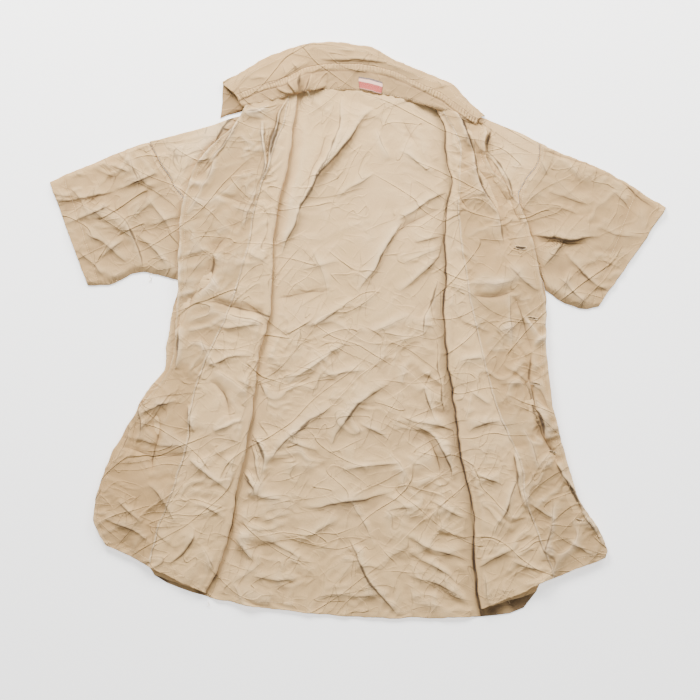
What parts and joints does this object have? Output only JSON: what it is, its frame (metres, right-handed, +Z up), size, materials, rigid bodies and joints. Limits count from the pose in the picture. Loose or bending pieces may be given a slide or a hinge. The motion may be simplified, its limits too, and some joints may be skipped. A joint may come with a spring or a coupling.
{
  "type": "military service shirt",
  "caption": "Short-sleeved khaki service shirt lying unbuttoned on its back, both fronts folded open over the sides, rolled collar with neck label.",
  "frame": {"origin": "under the middle of the shirt as it lies, on the surface it rests on", "axes": "+Z up from the surface, +Y towards the collar, +X towards the wearer's left side"},
  "size_m": [0.8932, 0.8346, 0.0168],
  "materials": {
    "shirting": "plain-weave khaki cotton, washed and creased",
    "facing_cloth": "unfaded outer face of the khaki cotton",
    "label_weave": "woven label, bare bands",
    "button_horn": "satin moulded buttons"
  },
  "bodies": {
    "root": {"back": "shirting", "right_front": "shirting", "left_front": "shirting", "right_sleeve": "shirting", "left_sleeve": "shirting", "collar_leaf": "shirting", "collar_stand": "shirting", "right_pocket": "shirting", "left_pocket": "shirting", "right_pocket_flap": "shirting", "left_pocket_flap": "shirting", "right_facing": "facing_cloth", "left_facing": "facing_cloth", "neck_label": "label_weave", "button_1": "button_horn", "button_2": "button_horn", "button_3": "button_horn", "button_4": "button_horn", "button_5": "button_horn"}
  },
  "joints": []
}
